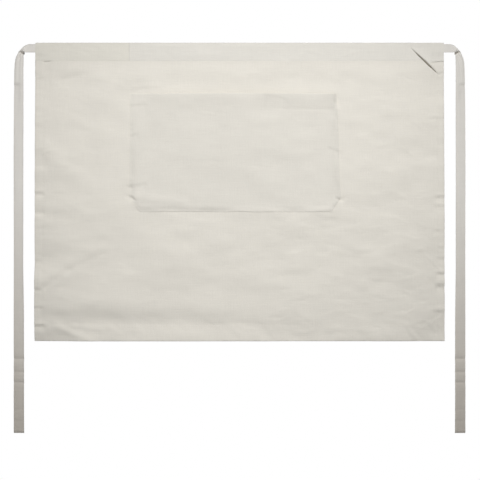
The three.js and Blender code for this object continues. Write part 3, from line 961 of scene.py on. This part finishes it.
def linen(name, colour, darkened, shaded_end_colour=None):
    """Washed plain weave: slubbed threads, faint blotches and a matte, slightly fuzzy surface.

    darkened lists the lines along which it is darker, mostly by painted shade: axis, place, reach and loss
    of tone.
    shaded_end_colour is the darker colour, painted shade, that a tie's colour turns to at its lower end.
    """
    material, tree, shader = new_material(name, **LINEN_LOOK)
    place = add_node(tree, "ShaderNodeUVMap", dict(uv_map=CLOTH_MAP))
    noises = {key: scaled_noise(tree, place, row["scale"]) for key, row in LINEN_TONES.items()}
    waves = [add_node(tree, "ShaderNodeTexWave", dict(bands_direction=axis), Vector=place, **LINEN_THREADS)
             for axis in ("X", "Y")]
    threads = maths(tree, "MAXIMUM", *(wave.outputs["Fac"] for wave in waves))
    slubs = maths(tree, "ADD", noises["weft"], noises["warp"])
    tone, *others = [ranged(tree, noises[key], *row["tones"]) for key, row in LINEN_TONES.items()]
    for other in others:
        tone = maths(tree, "MULTIPLY", tone, other)
    for axis, line, reach, loss in darkened:
        tone = darken_along(tree, place, tone, axis, line, reach, loss)
    if shaded_end_colour:
        colour = painted_end_shade(tree, place, colour, shaded_end_colour)
    tint(tree, shader, colour, tone)
    weave = add_node(tree, "ShaderNodeBump", Height=threads, **WEAVE_BUMP)
    grain = add_node(tree, "ShaderNodeBump", Height=slubs, Normal=weave, **SLUB_BUMP)
    set_inputs(shader, Normal=grain)
    return material


def sewing_thread(name, colour):
    """Spun thread, a little shinier than the cloth, with an uneven twist."""
    material, tree, shader = new_material(name, Roughness=THREAD_ROUGHNESS)
    place = add_node(tree, "ShaderNodeTexCoord").outputs["Object"]
    twist = scaled_noise(tree, place, THREAD_TWIST.scale)
    tint(tree, shader, colour, ranged(tree, twist, *THREAD_TWIST.tones))
    bump = add_node(tree, "ShaderNodeBump", Height=twist, **THREAD_BUMP)
    set_inputs(shader, Normal=bump)
    return material


# Stage

def make_floor():
    corners = [(x * FLOOR_REACH, y * FLOOR_REACH, FLOOR_Z) for x, y in ((-1, -1), (1, -1), (1, 1), (-1, 1))]
    floor = mesh_object("floor", np.array(corners) / MM, [(0, 1, 2, 3)])
    floor.data.materials.append(new_material("pale_floor", **FLOOR_LOOK)[0])


def white_walls():
    """A plain white that fades in over the floor, from the first ring of the surround to the second."""
    material, tree, _ = new_material("white_walls")
    place = add_node(tree, "ShaderNodeNewGeometry")
    level = add_node(tree, "ShaderNodeVectorMath", dict(operation="MULTIPLY"), place, (1, 1, 0))
    away = add_node(tree, "ShaderNodeVectorMath", dict(operation="LENGTH"), level)
    (fade_start, _), (fade_end, _) = SURROUND_PROFILE[:2]
    fade = add_node(tree, "ShaderNodeMapRange", dict(interpolation_type="SMOOTHSTEP"),
                    Value=away.outputs["Value"], From_Min=fade_start, From_Max=fade_end)
    clear = add_node(tree, "ShaderNodeBsdfTransparent")
    white = add_node(tree, "ShaderNodeEmission")
    walls = add_node(tree, "ShaderNodeMixShader", None, fade, clear, white)
    set_inputs(tree.nodes["Material Output"], Surface=walls)
    return material


def make_surround():
    """Walls that lie over the outer floor and rise round the apron. They are seen, but give no light."""
    turn = np.arange(SURROUND_SIDES) * 2 * pi / SURROUND_SIDES
    rings = [np.stack([r * np.cos(turn), r * np.sin(turn), 0 * turn + z], 1) for r, z in SURROUND_PROFILE]
    at = np.arange(len(rings) * SURROUND_SIDES).reshape(len(rings), SURROUND_SIDES)
    beside = np.roll(at, -1, axis=1)
    faces = np.stack([at[:-1], beside[:-1], beside[1:], at[1:]], 2).reshape(-1, 4)
    surround = mesh_object("surround", np.concatenate(rings) / MM, faces)
    surround.data.materials.append(white_walls())
    for ray in ("diffuse", "glossy", "transmission", "shadow"):
        setattr(surround, f"visible_{ray}", False)


def make_light(name, kind, place, aim, **settings):
    data = bpy.data.lights.new(name, kind)
    for key, value in settings.items():
        setattr(data, key, value)
    light = new_object(name, data)
    light.location = place
    light.rotation_euler = (Vector(aim) - Vector(place)).to_track_quat("-Z", "Y").to_euler()
    light.visible_camera = False


def make_camera():
    data = bpy.data.cameras.new("camera")
    data.lens = LENS
    data.sensor_width = SENSOR
    camera = new_object("camera", data)
    distance = FRAME_WIDTH * LENS / SENSOR
    camera.location = (AIM[0], AIM[1] - distance, AIM[2])
    camera.rotation_euler = (pi / 2, 0, 0)
    bpy.context.scene.camera = camera


def make_world():
    world = bpy.data.worlds.new("studio")
    world.use_nodes = True
    set_inputs(world.node_tree.nodes["Background"], **WORLD_LOOK)
    bpy.context.scene.world = world
    bpy.context.scene.view_settings.view_transform = "Standard"


make_camera()
make_world()
make_floor()
make_surround()
for row in LIGHTS:
    make_light(**row)


# Assembly

def dress(node, cloth, look, stitch_lines):
    """Puts a cloth and its stitches, which it returns, on the apron's one body in place of a node."""
    cloth.data.materials.append(look)
    stitches = make_stitches(cloth.name.replace("cloth", "stitches"), stitch_lines, thread)
    for piece in (cloth, stitches):
        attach(piece, "root")
        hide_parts(node)
    return stitches


thread = sewing_thread("thread", COLOURS["thread"])

panel, panel_width, panel_length = make_panel()
side_crease = HALF_TOP + SIDE_FOLD * (pi / 2 - 1)
# The panel is darker along the folded edges of its side hems, and painted shade darkens it just under the
# waistband's seam.
panel_darkened = [("X", side * side_crease, *DARKENED_LINES["side_hem"]) for side in (-1, 1)]
panel_darkened.append(("Y", BAND_DEPTH, *DARKENED_LINES["seam"]))
panel_linen = linen("panel_linen", COLOURS["apron_panel"], panel_darkened)
stitches = dress("apron_panel", panel, panel_linen, panel_stitch_lines())

# Painted shade darkens the waistband's strips along their top edge and at their piecing.
top_crease = BAND_ON_CLOTH + BAND_DEPTH + TOP_FOLD * (pi / 2 - 1)
strip_darkened = [("Y", top_crease, *DARKENED_LINES["top_edge"]), ("X", PIECING_X, *DARKENED_LINES["piecing"])]
for node, left, right in (("waistband_short", -HALF_TOP, PIECING_X - PIECING_GAP / 2),
                          ("waistband_long", PIECING_X + PIECING_GAP / 2, HALF_TOP)):
    strip = make_band(f"{node}_cloth", left, right)
    strip_linen = linen(f"{node}_linen", COLOURS[node], strip_darkened)
    stitches = dress(node, strip, strip_linen, band_stitch_lines(left, right))

pocket = make_pocket()
# The pocket is darker towards its right side; along its left side that is partly its seam allowance, partly
# painted shade.
pocket_darkened = [("X", POCKET_ON_CLOTH + POCKET_LEFT, *DARKENED_LINES["pocket_left"]),
               ("X", POCKET_ON_CLOTH + POCKET_RIGHT_FOOT, *DARKENED_LINES["pocket_right"])]
pocket_linen = linen("pocket_linen", COLOURS["patch_pocket"], pocket_darkened)
stitches = dress("patch_pocket", pocket, pocket_linen, pocket_stitch_lines())

sewn_in = -TIE_SECTIONS[0][0]
tie_length = tie_rows(STEP.tie_path).along[-1, 0] - sewn_in
for node, side in (("tie_right", 1), ("tie_left", -1)):
    tie = make_tie(f"{node}_cloth", side)
    # painted shade darkens each tie along both its edges
    tie_darkened = [("X", TIE_ON_CLOTH + share * TIE_WIDTH, *DARKENED_LINES[node]) for share in TIE_EDGE_SHADE_SHARES]
    # towards its lower end, painted shade turns the tie's colour darker
    tie_linen = linen(f"{node}_linen", COLOURS[node], tie_darkened, COLOURS["tie_end_painted_shade"])
    stitches = dress(node, tie, tie_linen, tie_stitch_lines(side))
    path = tie_path(side)
